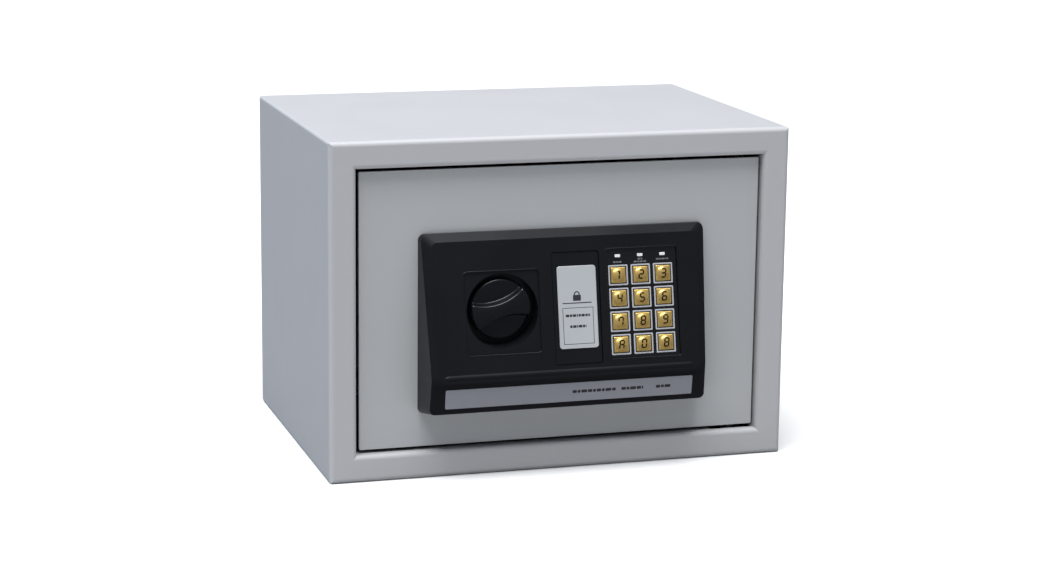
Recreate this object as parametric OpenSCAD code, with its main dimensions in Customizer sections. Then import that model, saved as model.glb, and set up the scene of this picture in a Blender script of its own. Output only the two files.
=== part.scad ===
// In-room electronic safe: steel cabinet, plate door hinged on the right, black control panel.
// X runs to the right seen from the front, Y towards the back, Z up. The origin is on the floor,
// at the centre of the cabinet's footprint. All lengths are in millimetres.

/* [Cabinet] */
// outside width of the cabinet
body_w = 350; // [280:1:450]
// outside depth of the cabinet, without the control panel
body_d = 250; // [200:1:400]
// outside height of the cabinet
body_h = 250; // [180:1:350]
// cabinet sheet thickness
sheet = 1.5; // [1:0.1:4]
// outside radius of every bend at the front
bend = 3.5; // [2:0.5:6]
// width of the frame round the door opening
flange = 20; // [12:1:40]
// depth of the lip that turns back round the opening
lip = 13; // [8:1:25]
// diameter of the anchor holes
anchor_d = 10; // [6:1:14]
// distance between two anchor holes
anchor_gap = 180; // [100:5:250]

/* [Door] */
// door plate width
door_w = 305; // [240:0.5:400]
// door plate height
door_h = 204.4; // [140:0.2:300]
// door plate thickness
door_t = 3; // [2:0.5:8]
// how far the door face lies behind the frame face
door_in = 6.5; // [2:0.5:12]
// hinge pin diameter
pin_d = 6; // [4:0.5:8]
// distance from the hinge axis to the hinge edge of the door
pin_edge = 16; // [10:0.5:25]
// distance from the hinge axis to the door face
pin_back = 6.2; // [5:0.1:10]

/* [Bolt work] */
// locking bolt diameter
bolt_d = 16; // [10:1:22]
// distance of each bolt above and below the knob
bolt_z = 50; // [30:1:70]
// bolt travel
throw = 15; // [8:1:20]
// angle that the knob turns
knob_turn = 72; // [50:1:90]

/* [Control panel] */
// panel width at the door
panel_w = 218; // [180:1:260]
// panel height at the door
panel_h = 133; // [100:1:160]
// lean of the panel face back from the vertical
lean = 11.5; // [0:0.5:20]
// panel height above the door at the top of its face
face_p = 7; // [4:0.5:15]
// height of the top of the panel face above the floor
face_z = 175.3; // [120:0.1:220]
// length of the panel face down its slope
face_len = 102.3; // [80:0.1:130]
// wall thickness of the moulding
wall = 2.5; // [1.5:0.1:4]

/* [Knob and keys] */
// diameter of the well that the knob sits in
well_d = 54; // [40:1:60]
// knob diameter
knob_d = 45; // [30:1:50]
// key cap width
key_w = 11.4; // [8:0.1:14]
// distance between key columns
key_dx = 17.4; // [14:0.1:22]
// distance between key rows, down the slope
key_dy = 17; // [14:0.1:22]
// key travel
key_travel = 0.6; // [0.3:0.1:2]

/* [Hidden] */
$fn = 64;
hx = body_w / 2;                       // half width
fy = -body_d / 2;                      // front face of the frame
open_x = hx - flange;                  // half width of the opening
open_z0 = flange;                      // opening, bottom edge
open_z1 = body_h - flange;             // opening, top edge
door_cx = 0.7;                         // door centre
door_z0 = 22.7;                        // door bottom edge
door_f = fy + door_in;                 // door front face
door_b = door_f + door_t;              // door back face
piv_x = door_cx + door_w / 2 - pin_edge;
piv_y = door_f + pin_back;
knob_x = -49.2;
knob_z = 124.2;
bolt_y = fy + lip + 1 + bolt_d / 2;    // bolts pass 1 mm behind the lip
plate_y = bolt_y - 1.5;                // front face of the carriage arm
crank_r = throw / 2 / sin(knob_turn / 2);
lock_x = 7.3;
lock_z = 145;
sol_x = -12;
pad_x = 57.8;                          // middle key column
pad_v = [30.2, 47.2, 64.2, 81.2];      // key rows down the slope
panel_cz = 114;
cov_x = 7.3;
cov_v = 52.45;
in_x0 = -141;                          // inner cover
in_x1 = 118;
in_z0 = 35;
in_z1 = 215;
in_y = -80;
bat_x = 70;
bat_z = 86;
rst_x = 100;
rst_z = 190;
light_grey = [0.72, 0.74, 0.75];
black = [0.08, 0.08, 0.09];
zinc = [0.62, 0.64, 0.66];
gold = [0.78, 0.66, 0.34];
silver = [0.80, 0.81, 0.83];

// ---- helpers --------------------------------------------------------------------------------
// rectangle centred on the origin with round corners
module rrect(w, h, r) {
  square([w - 2 * r, h], center = true);
  square([w, h - 2 * r], center = true);
  for (x = [-1, 1], y = [-1, 1]) translate([x * (w / 2 - r), y * (h / 2 - r)]) circle(r = r);
}
// outline w wide from y = 0 to y = d, with round corners at the y = 0 end only
module front_round(w, d, r) {
  translate([-w / 2, r]) square([w, d - r]);
  translate([r - w / 2, 0]) square([w - 2 * r, d]);
  for (x = [-1, 1]) translate([x * (w / 2 - r), r]) circle(r = r);
}
// rod along Y from y0 to y1
module rod(x, z, d, y0, y1) {
  translate([x, y1, z]) rotate([90, 0, 0]) cylinder(d = d, h = y1 - y0);
}
// box from two corners
module box(a, b) { translate(a) cube(b - a); }
// local frame on the leaning face: x across, y up the slope, z out of the face
module face_at(x, v) {
  translate([0, door_f - face_p, face_z]) rotate([90 - lean, 0, 0]) translate([x, -v, 0])
    children();
}
// local frame on the chin below the ridge, which leans the other way
chin_lean = 7.2;
module chin_at(x, v) {
  translate([0, door_f - 24.9, 73.3]) rotate([90 + chin_lean, 0, 0]) translate([x, -v, 0])
    children();
}
// flat disc facing forward, a corner of a moulding's outline
module disc(x, p, z, r) {
  translate([x, door_f - p, z]) rotate([90, 0, 0]) cylinder(r = r, h = 0.02, $fn = 32);
}
// slot with round ends, along x, through Y
module slot_x(x0, x1, z, d, y0, y1) {
  rod(x0, z, d, y0, y1);
  rod(x1, z, d, y0, y1);
  box([x0, y0, z - d / 2], [x1, y1, z + d / 2]);
}

// ---- cabinet --------------------------------------------------------------------------------
// bent edge and lip along one side of the opening, drawn along +Z from the origin
module lip_bar(len) {
  linear_extrude(len) {
    intersection() {
      difference() {
        translate([bend, bend]) circle(r = bend);
        translate([bend, bend]) circle(r = bend - sheet);
      }
      square(bend);
    }
    translate([0, bend]) square([sheet, lip - bend]);
  }
}
module body_shell() {
  color(light_grey) difference() {
    union() {
      difference() {
        // the front edges are bent to the full radius, the long edges to a smaller one
        intersection() {
          translate([0, fy, 0]) linear_extrude(body_h) front_round(body_w, body_d, bend);
          translate([hx, fy, body_h / 2]) rotate([0, -90, 0]) linear_extrude(body_w)
            front_round(body_h, body_d, bend);
          translate([0, -fy, body_h / 2]) rotate([90, 0, 0]) linear_extrude(body_d)
            rrect(body_w, body_h, 2.2);
        }
        box([-hx + sheet, fy + sheet, sheet], [hx - sheet, -fy + 1, body_h - sheet]);
        box([-open_x - bend, fy - 1, open_z0 - bend], [open_x + bend, 0, open_z1 + bend]);
      }
      // upright sides of the opening
      for (s = [0, 1]) mirror([s, 0, 0]) translate([open_x, fy, open_z0 - bend])
        lip_bar(open_z1 - open_z0 + 2 * bend);
      // bottom and top of the opening
      translate([-open_x - bend, fy, open_z0]) rotate([0, 90, 0])
        lip_bar(2 * (open_x + bend));
      translate([open_x + bend, fy, open_z1]) rotate([0, -90, 0])
        lip_bar(2 * (open_x + bend));
    }
    // the top and bottom lips are cut back where the hinges pass
    for (z = [open_z0 - bend - 1, open_z1 - 1])
      box([121, fy + 7, z], [154, 0, z + bend + 2]);
    // anchor holes in the floor
    for (s = [-1, 1]) translate([s * anchor_gap / 2, 0, -1]) cylinder(d = anchor_d, h = 4);
  }
}
module back_panel() {
  color(light_grey) difference() {
    box([-hx + sheet, -fy - 12, sheet], [hx - sheet, -fy - 1, body_h - sheet]);
    box([-hx + 2 * sheet, -fy - 13, 2 * sheet],
        [hx - 2 * sheet, -fy - 1 - sheet, body_h - 2 * sheet]);
    for (s = [-1, 1]) rod(s * anchor_gap / 2, body_h / 2, anchor_d, 100, 130);
  }
}
module floor_mat() {
  color([0.16, 0.17, 0.19]) difference() {
    box([-hx + 4, -106, sheet], [hx - 4, 110, sheet + 2.5]);
    for (s = [-1, 1]) translate([s * anchor_gap / 2, 0, 0]) cylinder(d = anchor_d + 6, h = 8);
  }
}
// hinge plate welded behind the frame, with the pin's hole; drawn for the top hinge
module hinge_bracket() {
  color(zinc) difference() {
    union() {
      box([piv_x - 16, fy + sheet, 4], [piv_x + 16, piv_y + 9, 7]);
      box([piv_x - 16, fy + sheet, 7], [piv_x + 16, fy + sheet + 3, 14]);
    }
    translate([piv_x, piv_y, 0]) cylinder(d = pin_d + 0.1, h = 10);
  }
}
module hinge_bracket_upper() { translate([0, 0, open_z1]) hinge_bracket(); }
module hinge_bracket_lower() { translate([0, 0, open_z0]) mirror([0, 0, 1]) hinge_bracket(); }

// ---- door -----------------------------------------------------------------------------------
module door_plate() {
  color(light_grey) difference() {
    translate([door_cx, door_b, door_z0 + door_h / 2]) rotate([90, 0, 0])
      linear_extrude(door_t) rrect(door_w, door_h, 1);
    rod(knob_x, knob_z, 12, door_f - 1, door_b + 1);
    rod(lock_x, lock_z, 18.2, door_f - 1, door_b + 1);
    rod(pad_x, 100, 22, door_f - 1, door_b + 1);
    panel_screw_places() rod(0, 0, 3.4, door_f - 1, door_b + 1);
    // blind holes for the inner cover's screws, from the back
    cover_screw_places() rod(0, 0, 4, door_f + 0.8, door_b + 1);
  }
}
// hinge lug welded on the back of the door; drawn for the top hinge
module hinge_lug() {
  color(zinc) difference() {
    box([piv_x - 7, door_b, -20], [piv_x + 7, piv_y + 7, 0]);
    translate([piv_x, piv_y, -18]) cylinder(d = pin_d, h = 20);
  }
}
module hinge_lug_upper() { translate([0, 0, door_z0 + door_h - 1]) hinge_lug(); }
module hinge_lug_lower() { translate([0, 0, door_z0 + 1]) mirror([0, 0, 1]) hinge_lug(); }
// hinge pin: lower end in the lug, upper end in the bracket
module hinge_pin() {
  color([0.5, 0.5, 0.52]) translate([piv_x, piv_y, -18]) {
    cylinder(d = pin_d, h = 28);
    translate([0, 0, 19.2]) cylinder(d = pin_d + 3, h = 6.4);
  }
}
module hinge_pin_upper() { translate([0, 0, door_z0 + door_h - 1]) hinge_pin(); }
module hinge_pin_lower() { translate([0, 0, door_z0 + 1]) mirror([0, 0, 1]) hinge_pin(); }

// ---- bolt work ------------------------------------------------------------------------------
module bolt_guide() {
  color(zinc) difference() {
    union() {
      box([-151, door_b, knob_z - 66], [-143.5, door_b + 2, knob_z + 66]);
      box([-146, door_b, knob_z - 66], [-143.5, bolt_y + 12, knob_z + 66]);
    }
    for (s = [-1, 1]) translate([-152, bolt_y, knob_z + s * bolt_z]) rotate([0, 90, 0])
      cylinder(d = bolt_d + 0.16, h = 12);
  }
}
stud_at = [[-95, 124.2], [-8, 112]];
module guide_studs() {
  color(zinc) for (p = stud_at) {
    rod(p[0], p[1], 10, door_b, plate_y - 0.3);
    rod(p[0], p[1], 6, plate_y - 0.3, plate_y + 3.3);
    rod(p[0], p[1], 10, plate_y + 3.3, plate_y + 5.3);
  }
}
module bolt_carriage() {
  color(zinc) difference() {
    union() {
      box([-122, bolt_y - 8, knob_z - 62], [-119, bolt_y + 8, knob_z + 62]);
      box([-119, plate_y, 98], [16, plate_y + 3, 150]);
    }
    for (s = [-1, 1]) translate([-123, bolt_y, knob_z + s * bolt_z]) rotate([0, 90, 0])
      cylinder(d = 8.1, h = 5);
    // guide slots
    for (p = stud_at) slot_x(p[0] - 0.5, p[0] + throw + 0.5, p[1], 6.6, plate_y - 1, plate_y + 4);
    // upright slot for the crank pin
    translate([knob_x + throw / 2, 0, knob_z]) {
      box([-2.8, plate_y - 1, -14], [2.8, plate_y + 4, -9]);
      rod(0, -14, 5.6, plate_y - 1, plate_y + 4);
      rod(0, -9, 5.6, plate_y - 1, plate_y + 4);
    }
    // blocking notches: one for each end of the travel
    for (x = [0, throw]) box([sol_x + x - 3.6, plate_y - 1, 146], [sol_x + x + 3.6, plate_y + 4, 151]);
  }
}
module bolt(z) {
  color(silver) translate([-149, bolt_y, z]) rotate([0, 90, 0]) {
    cylinder(d1 = bolt_d - 2.4, d2 = bolt_d, h = 1.2);
    translate([0, 0, 1.2]) cylinder(d = bolt_d, h = 25.8);
    translate([0, 0, 27]) cylinder(d = 8, h = 5);
  }
}
module bolt_upper() { bolt(knob_z + bolt_z); }
module bolt_lower() { bolt(knob_z - bolt_z); }
module solenoid_frame() {
  color(zinc) difference() {
    union() {
      box([sol_x - 11, door_b, 166], [sol_x + 11, door_b + 2, 194]);
      box([sol_x - 11, door_b, 166], [sol_x + 11, bolt_y + 8, 168]);
      box([sol_x - 11, door_b, 192], [sol_x + 11, bolt_y + 8, 194]);
    }
    translate([sol_x, bolt_y, 160]) cylinder(d = 5.4, h = 40);
  }
}
module solenoid_coil() {
  color([0.75, 0.42, 0.16]) translate([sol_x, bolt_y, 168]) difference() {
    cylinder(d = 18, h = 24);
    translate([0, 0, -1]) cylinder(d = 5.4, h = 26);
  }
}
module solenoid_plunger() {
  color(silver) translate([sol_x, bolt_y, 151]) {
    cylinder(d = 5, h = 47);
    translate([0, 0, 5]) cylinder(d = 8, h = 1.5);
  }
}
// helix of round wire: radius r, height h, n turns, wire radius w
function helix_ring(r, h, n, w, t, m) = [for (j = [0:m - 1]) let (a = 360 * n * t, b = 360 * j / m)
  [(r + w * cos(b)) * cos(a), (r + w * cos(b)) * sin(a), h * t + w * sin(b)]];
module helix(r, h, n, w) {
  m = 6;
  k = n * 14;
  pts = [for (i = [0:k]) each helix_ring(r, h, n, w, i / k, m)];
  side = [for (i = [0:k - 1], j = [0:m - 1]) let (j2 = (j + 1) % m)
    [i * m + j, i * m + j2, (i + 1) * m + j2, (i + 1) * m + j]];
  polyhedron(pts, concat([[for (j = [m - 1:-1:0]) j]], side, [[for (j = [0:m - 1]) k * m + j]]));
}
module plunger_spring() {
  color([0.55, 0.56, 0.58]) translate([sol_x, bolt_y, 158]) helix(3.3, 7.5, 5, 0.35);
}

// ---- knob -----------------------------------------------------------------------------------
module knob_bush() {
  color([0.72, 0.58, 0.30]) difference() {
    union() {
      rod(knob_x, knob_z, 18, door_f - 1.5, door_f);
      rod(knob_x, knob_z, 12, door_f, door_b + 1.5);
    }
    rod(knob_x, knob_z, 8.1, door_f - 3, door_b + 3);
  }
}
module knob() {
  color(black) difference() {
    rod(knob_x, knob_z, knob_d, door_f - 15, door_f - 3.6);
    rod(knob_x, knob_z, 8, door_f - 12, door_f);
    // hollows above and below the waisted grip
    for (s = [-1, 1]) translate([knob_x, 0, knob_z]) rotate([0, -16, 0])
      rod(0, s * (39 + 4.8), 78, door_f - 16, door_f - 9);
  }
}
module knob_shaft() { color(zinc) rod(knob_x, knob_z, 8, door_f - 12, door_b + 6.5); }
module shaft_clip() {
  color(zinc) difference() {
    rod(knob_x, knob_z, 13, door_b + 1.7, door_b + 2.7);
    rod(knob_x, knob_z, 8, door_b, door_b + 4);
  }
}
module crank() {
  color(zinc) difference() {
    union() {
      rod(knob_x, knob_z, 16, door_b + 3, door_b + 6);
      crank_tilt() {
        box([-5, door_b + 3, -crank_r], [5, door_b + 6, 0]);
        rod(0, -crank_r, 10, door_b + 3, door_b + 6);
      }
    }
    rod(knob_x, knob_z, 8, door_b, door_b + 8);
    crank_tilt() rod(0, -crank_r, 5, door_b, door_b + 8);
  }
}
module crank_tilt() {
  translate([knob_x, 0, knob_z]) rotate([0, -knob_turn / 2, 0]) children();
}
module crank_pin() { color(silver) crank_tilt() rod(0, -crank_r, 5, door_b + 3, plate_y + 5); }

// ---- override lock --------------------------------------------------------------------------
module lock_body() {
  color(silver) difference() {
    union() {
      rod(lock_x, lock_z, 18, door_f - 8, door_b + 7.5);
      rod(lock_x, lock_z, 23, door_f - 2, door_f);
    }
    rod(lock_x, lock_z, 12.1, door_f - 10, door_b + 10);
  }
}
module lock_nut() {
  color(zinc) difference() {
    translate([lock_x, door_b + 3, lock_z]) rotate([90, 0, 0]) cylinder(d = 25, h = 3, $fn = 6);
    rod(lock_x, lock_z, 18, door_b - 1, door_b + 5);
  }
}
module lock_plug() {
  color([0.74, 0.62, 0.36]) difference() {
    union() {
      rod(lock_x, lock_z, 12, door_f - 8.4, door_b + 7.8);
      rod(lock_x, lock_z, 6, door_b + 7.8, door_b + 10.5);
    }
    box([lock_x - 0.8, door_f - 9, lock_z - 4], [lock_x + 0.8, door_f - 1, lock_z + 4]);
  }
}
module lock_cam() {
  color(zinc) difference() {
    union() {
      rod(lock_x, lock_z, 12, door_b + 7.8, door_b + 9.8);
      box([lock_x - 4, door_b + 7.8, lock_z - 19], [lock_x + 4, door_b + 9.8, lock_z]);
    }
    rod(lock_x, lock_z, 6, door_b + 7, door_b + 11);
  }
}

// ---- inner cover ----------------------------------------------------------------------------
cover_tabs = [[-100, in_z1 + 4], [88, in_z1 + 4], [-100, in_z0 - 4], [88, in_z0 - 4]];
module cover_screw_places() { for (p = cover_tabs) translate([p[0], 0, p[1]]) children(); }
module inner_cover() {
  color(light_grey) difference() {
    union() {
      box([in_x0, door_b, in_z0], [in_x1, in_y, in_z1]);
      for (p = cover_tabs)
        box([p[0] - 8, door_b, p[1] - 4], [p[0] + 8, door_b + 1, p[1] + 4]);
    }
    box([in_x0 + 1, door_b - 1, in_z0 + 1], [in_x1 - 1, in_y - 1, in_z1 - 1]);
    for (s = [-1, 1]) translate([in_x0 - 1, bolt_y, knob_z + s * bolt_z]) rotate([0, 90, 0])
      cylinder(d = bolt_d + 2, h = 3);
    box([bat_x - 32, in_y - 2, bat_z - 29], [bat_x + 32, in_y + 1, bat_z + 29]);
    rod(rst_x, rst_z, 7, in_y - 2, in_y + 1);
    cover_screw_places() rod(0, 0, 4, door_b - 1, door_b + 2);
  }
}
module cover_screws() {
  color(zinc) cover_screw_places() {
    rod(0, 0, 4, door_f + 0.8, door_b + 1);
    difference() {
      rod(0, 0, 7.5, door_b + 1, door_b + 3);
      box([-2.6, door_b + 2.2, -0.5], [2.6, door_b + 4, 0.5]);
      box([-0.5, door_b + 2.2, -2.6], [0.5, door_b + 4, 2.6]);
    }
  }
}
// tray for four cells, open towards the back
module battery_holder() {
  color([0.12, 0.12, 0.13]) difference() {
    box([bat_x - 34, in_y - 20, bat_z - 31], [bat_x + 34, in_y - 1, bat_z + 31]);
    box([bat_x - 31, in_y - 18, bat_z - 27.5], [bat_x + 31, in_y + 1, bat_z + 27.5]);
  }
}
module batteries() {
  color([0.24, 0.36, 0.30]) for (i = [-1.5, -0.5, 0.5, 1.5])
    translate([bat_x + i * 15.2, in_y - 10.4, bat_z]) {
      translate([0, 0, -25]) cylinder(d = 14.2, h = 49);
      translate([0, 0, 24]) cylinder(d = 5.5, h = 1.2);
    }
}
module battery_door() {
  color(black) union() {
    box([bat_x - 31.7, in_y - 1, bat_z - 28.7], [bat_x + 31.7, in_y + 0.6, bat_z + 28.7]);
    box([bat_x - 12, in_y + 0.6, bat_z + 20], [bat_x + 12, in_y + 2.4, bat_z + 22]);
    box([bat_x - 12, in_y + 0.6, bat_z + 24], [bat_x + 12, in_y + 2.4, bat_z + 26]);
  }
}
module reset_switch() {
  color([0.10, 0.10, 0.11]) union() {
    box([rst_x - 8, door_b, rst_z - 8], [rst_x + 8, in_y - 12, rst_z + 8]);
    rod(rst_x, rst_z, 4, in_y - 12, in_y - 9.4);
  }
}
module reset_button() {
  color([0.75, 0.10, 0.08]) {
    rod(rst_x, rst_z, 9, in_y - 3.6, in_y - 2);
    rod(rst_x, rst_z, 6.4, in_y - 2, in_y + 2);
    rod(rst_x, rst_z, 3.4, in_y - 8.2, in_y - 3.6);
  }
}

// ---- control panel --------------------------------------------------------------------------
// place and height of each screw post
screw_at = [[-96, 164, 8], [97, 164, 8], [-96, 66, 22.6], [97, 66, 22.6]];
module panel_screw_places() { for (p = screw_at) translate([p[0], 0, p[1]]) children(); }
// solid outer form: base outline, drafted sides, chamfered face, chin; d is an inset
module panel_form(d) {
  w = panel_w / 2 - d;
  h = panel_h / 2 - d;
  translate([door_cx, 0, 0]) hull() {
    for (x = [-1, 1], z = [-1, 1]) disc(x * (w - 4.5), 0, panel_cz + z * (h - 4.5), 4.5);
    face_at(0, 0) {
      for (x = [-1, 1]) {
        // shoulder of the face, then the face itself
        translate([x * (w - 6), 0.8 - d, -2.4 - d]) cylinder(r = 5, h = 0.02, $fn = 32);
        translate([x * (w - 9), 4.7 - face_len + 2 * d, -2 - d])
          cylinder(r = 5, h = 0.02, $fn = 32);
        translate([x * (w - 12.5), -5.3, -d]) cylinder(r = 5, h = 0.02, $fn = 32);
        translate([x * (w - 14), 5 - face_len + 2 * d, -d]) cylinder(r = 5, h = 0.02, $fn = 32);
      }
    }
    for (x = [-1, 1]) disc(x * (w - 7.5), 21.6 - 1.2 * d, 55 + d, 4);
  }
}
module panel_housing() {
  color(black) difference() {
    union() {
      difference() {
        panel_form(0);
        // the chin lies a step below the ridge
        chin_at(0, 0) translate([-150, -40, 0]) cube([300, 40.5, 20]);
        difference() {
          panel_form(wall);
          chin_at(0, 0) translate([-150, -40, -wall]) cube([300, 46, 20]);
        }
      }
      // cup of the knob well
      intersection() {
        rod(knob_x, knob_z, well_d + 4, door_f - 40, door_f - 1.5);
        panel_form(0.5);
      }
      // ledges under the loose cover and the keypad
      face_at(cov_x, cov_v) translate([0, 0, -5.2]) linear_extrude(3) rrect(42, 88, 3);
      face_at(pad_x + 1, 51) translate([0, 0, -3.6]) linear_extrude(1.4) rrect(60, 86, 3);
      for (x = [-29.2, 29.2], v = [13, 89]) face_at(pad_x + 1 + x, v) translate([0, 0, -6])
        cylinder(d = 4, h = 3);
      for (p = screw_at) rod(p[0], p[1], 8, door_f - p[2], door_f);
    }
    // shallow square round the knob, then its well and floor
    face_at(knob_x, 53) translate([0, 0, -1]) linear_extrude(5) rrect(56.6, 60.5, 3);
    rod(knob_x, knob_z, well_d, door_f - 60, door_f - 3);
    rod(knob_x, knob_z, 19, door_f - 10, door_f + 1);
    // seat and opening of the loose cover
    face_at(cov_x, cov_v) translate([0, 0, -2.6]) linear_extrude(5) rrect(36.6, 82.6, 2);
    face_at(cov_x, cov_v) translate([0, 0, -9]) linear_extrude(9) rrect(31, 77, 2);
    // keypad recess, key holes and lamp holes
    face_at(pad_x + 1, 51) translate([0, 0, -2.4]) linear_extrude(5) rrect(55, 80.8, 1.5);
    for (i = [-1, 0, 1], v = pad_v) face_at(pad_x + i * key_dx, v)
      translate([0, 0, -4]) linear_extrude(3) square(key_w + 0.8, center = true);
    for (i = [-1, 0, 1]) face_at(pad_x + i * key_dx, 16)
      translate([0, 0, -4]) linear_extrude(3) square([4.4, 2.4], center = true);
    for (p = screw_at) rod(p[0], p[1], 3, door_f - 6.5, door_f + 1);
  }
}
module panel_screws() {
  color(zinc) for (p = screw_at) {
    rod(p[0], p[1], 3, door_f - 6, door_b);
    rod(p[0], p[1], 7, door_b, door_b + 2);
  }
}
module circuit_board() {
  color([0.10, 0.34, 0.20]) face_at(pad_x + 1, 51) translate([0, 0, -7.6])
    linear_extrude(1.6) square([64, 82], center = true);
}
module buzzer() {
  color(black) face_at(pad_x + 1, 78) translate([0, 0, -14.6]) cylinder(d = 12, h = 7);
}
module led_lenses() {
  color([0.85, 0.87, 0.88]) for (i = [-1, 0, 1]) face_at(pad_x + i * key_dx, 16)
    translate([0, 0, -6]) linear_extrude(4.8) square([4.2, 2.2], center = true);
}
module keypad_mat() {
  color([0.30, 0.31, 0.33]) {
    face_at(pad_x, 55.7) translate([0, 0, -6]) linear_extrude(0.6) rrect(52, 68.6, 2);
    for (i = [-1, 0, 1], v = pad_v) face_at(pad_x + i * key_dx, v)
      translate([0, 0, -5.4]) cylinder(d1 = 9, d2 = 7, h = 0.4);
  }
}
module keypad_fascia() {
  color(black) difference() {
    face_at(pad_x + 1, 51) translate([0, 0, -2.4]) linear_extrude(1) rrect(54.6, 80.4, 1.3);
    for (i = [-1, 0, 1], v = pad_v) face_at(pad_x + i * key_dx, v)
      translate([0, 0, -4]) linear_extrude(5) square(key_w + 0.5, center = true);
    for (i = [-1, 0, 1]) face_at(pad_x + i * key_dx, 16)
      translate([0, 0, -4]) linear_extrude(5) square([4.4, 2.4], center = true);
  }
}
module strip_label() {
  color([0.62, 0.63, 0.65]) chin_at(1, 10.9) linear_extrude(0.5) rrect(189.4, 14.6, 1);
}
module override_cover() {
  color(black) face_at(cov_x, cov_v) translate([0, 0, -2.6]) linear_extrude(2)
    rrect(36, 82, 1.8);
}
module cover_plate() {
  color(silver) face_at(cov_x + 0.5, 51.9) translate([0, 0, -0.6]) linear_extrude(0.6)
    rrect(29.7, 60.3, 2);
}
// one key: cap with sloping sides and a low round crown; c and r are its column and row
module key(c, r) {
  color(gold) face_at(pad_x + (c - 1) * key_dx, pad_v[r]) {
    translate([0, 0, -2.55]) cube([key_w, key_w, 3.3], center = true);
    hull() {
      translate([0, 0, -0.95]) cube([key_w, key_w, 0.1], center = true);
      translate([0, 0, -0.35]) cube([key_w - 1.6, key_w - 1.6, 0.1], center = true);
    }
    translate([0, 0, -0.3]) cylinder(d1 = 8.8, d2 = 7.4, h = 0.5);
  }
}

body_shell();
back_panel();
floor_mat();
hinge_bracket_upper();
hinge_bracket_lower();
door_plate();
hinge_lug_upper();
hinge_lug_lower();
hinge_pin_upper();
hinge_pin_lower();
bolt_guide();
guide_studs();
inner_cover();
cover_screws();
battery_holder();
batteries();
battery_door();
solenoid_frame();
solenoid_coil();
solenoid_plunger();
plunger_spring();
lock_body();
lock_nut();
lock_plug();
lock_cam();
knob_bush();
knob();
knob_shaft();
shaft_clip();
crank();
crank_pin();
bolt_carriage();
bolt_upper();
bolt_lower();
panel_housing();
panel_screws();
circuit_board();
buzzer();
led_lenses();
keypad_mat();
keypad_fascia();
strip_label();
override_cover();
cover_plate();
reset_switch();
reset_button();
key(0, 0);  // key_1
key(1, 0);  // key_2
key(2, 0);  // key_3
key(0, 1);  // key_4
key(1, 1);  // key_5
key(2, 1);  // key_6
key(0, 2);  // key_7
key(1, 2);  // key_8
key(2, 2);  // key_9
key(0, 3);  // key_a
key(1, 3);  // key_0
key(2, 3);  // key_b
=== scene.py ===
"""In-room electronic safe: finishes, plates, keys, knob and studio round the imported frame."""
import math

import bmesh
import bpy
import numpy as np
from bpy.props import FloatProperty, FloatVectorProperty, PointerProperty
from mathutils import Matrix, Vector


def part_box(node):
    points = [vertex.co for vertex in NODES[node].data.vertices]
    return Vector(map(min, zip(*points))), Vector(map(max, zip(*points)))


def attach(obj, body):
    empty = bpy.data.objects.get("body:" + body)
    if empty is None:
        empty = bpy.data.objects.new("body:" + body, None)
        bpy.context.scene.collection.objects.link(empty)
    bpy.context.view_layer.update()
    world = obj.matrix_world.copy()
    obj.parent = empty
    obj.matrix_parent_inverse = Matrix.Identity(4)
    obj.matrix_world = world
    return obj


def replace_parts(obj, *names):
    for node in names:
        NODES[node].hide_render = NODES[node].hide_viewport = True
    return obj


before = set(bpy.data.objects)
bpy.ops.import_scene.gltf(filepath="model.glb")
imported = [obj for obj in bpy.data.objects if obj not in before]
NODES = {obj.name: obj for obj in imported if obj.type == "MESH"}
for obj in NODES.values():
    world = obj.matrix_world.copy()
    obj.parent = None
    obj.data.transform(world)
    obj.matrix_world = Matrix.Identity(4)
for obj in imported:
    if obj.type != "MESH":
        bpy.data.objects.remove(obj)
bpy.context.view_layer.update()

bl_info = {
    "name": "In-room safe",
    "version": (1, 0, 0),
    "blender": (4, 5, 0),
    "location": "3D View > Sidebar > Safe",
    "description": "Finishes and fine pieces of a small electronic safe",
    "category": "Object",
}

MM = 0.001
DOOR_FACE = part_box("door_plate")[0].y
KNOB_LOW, KNOB_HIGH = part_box("knob")
KEYS = ["1", "2", "3", "4", "5", "6", "7", "8", "9", "a", "0", "b"]
FACE_LEAN = math.radians(11.5)
CHIN_LEAN = math.radians(-7.2)

# centres on the face: across from the middle of the safe, and down the slope
KNOB_RECESS = (-49.2 * MM, 53.0 * MM)
KEYPAD_RECESS = (58.8 * MM, 51.0 * MM)
CENTRE_PLATE = (7.8 * MM, 51.9 * MM)
RIDGE = (0.7 * MM, 98.7 * MM)
LAMP_ROW = 16.0 * MM
# centre on the chin, the same way
STRIP = (1.0 * MM, 10.9 * MM)

# the ridge lip's section: up the slope, then out from it
RIDGE_SECTION = np.array([(2.2, -0.5), (2.2, -0.05), (2.0, 0.03), (0.9, 0.44), (0.5, 0.53),
                          (0.1, 0.55), (-0.6, 0.54), (-1.3, 0.38), (-2.0, 0.08),
                          (-2.2, -0.5)]) * MM
# foot and top of the prints on the keypad's face, the centre plate and the strip
KEYPAD_PRINT = (-1.5 * MM, -1.28 * MM)
PLATE_PRINT = (-0.05 * MM, 0.035 * MM)
STRIP_PRINT = (0.45 * MM, 0.535 * MM)
# width and distance down the slope of each row of marks below its lamp, in millimetres
LAMP_MARKS = (((7.2, 20.6),), ((3.9, 18.9), (9.6, 20.9)), ((9.8, 19.7),))
# middle and width of each group of marks on the strip, in millimetres
STRIP_MARKS = ((19.2, 33.5), (48.8, 17.0), (73.0, 11.5))


# ---- sizes and colours that a user would change ----

def length(name, description, millimetres, low=0.0, high=500.0):
    """A length in metres, given in millimetres."""
    return FloatProperty(name=name, description=description, default=millimetres * MM,
                         min=low * MM, max=high * MM, unit="LENGTH", subtype="DISTANCE",
                         precision=5)


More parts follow.
